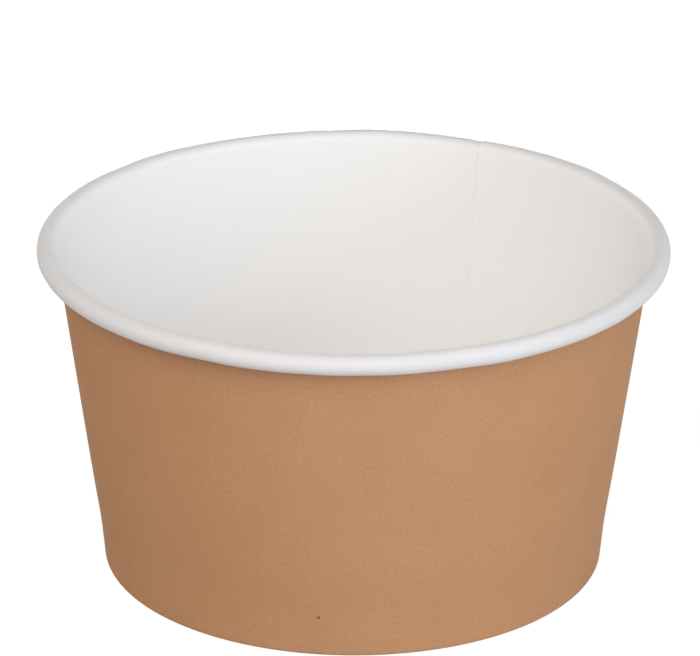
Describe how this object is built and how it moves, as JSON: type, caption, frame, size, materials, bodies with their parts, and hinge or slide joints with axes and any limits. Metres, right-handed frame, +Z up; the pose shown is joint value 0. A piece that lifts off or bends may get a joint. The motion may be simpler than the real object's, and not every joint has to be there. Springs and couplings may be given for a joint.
{
  "type": "paper ice cream tub",
  "caption": "Round tapered paperboard tub with a rolled rim, a lapped side seam and a raised base gripped in a folded foot, for ice cream and other food.",
  "frame": {"origin": "centre of the foot, on the plane that the tub stands on", "axes": "+Z up through the mouth; the picture's camera looks along +Y and a little down, with +X to its right"},
  "size_m": [0.115, 0.115, 0.062],
  "materials": {
    "kraft_board": "brown kraft face outside with a satin film, coated white face inside and on the roll",
    "white_board": "white board with a satin film"
  },
  "bodies": {
    "root": {"side_wall": "kraft_board", "base_disc": "white_board"}
  },
  "joints": []
}
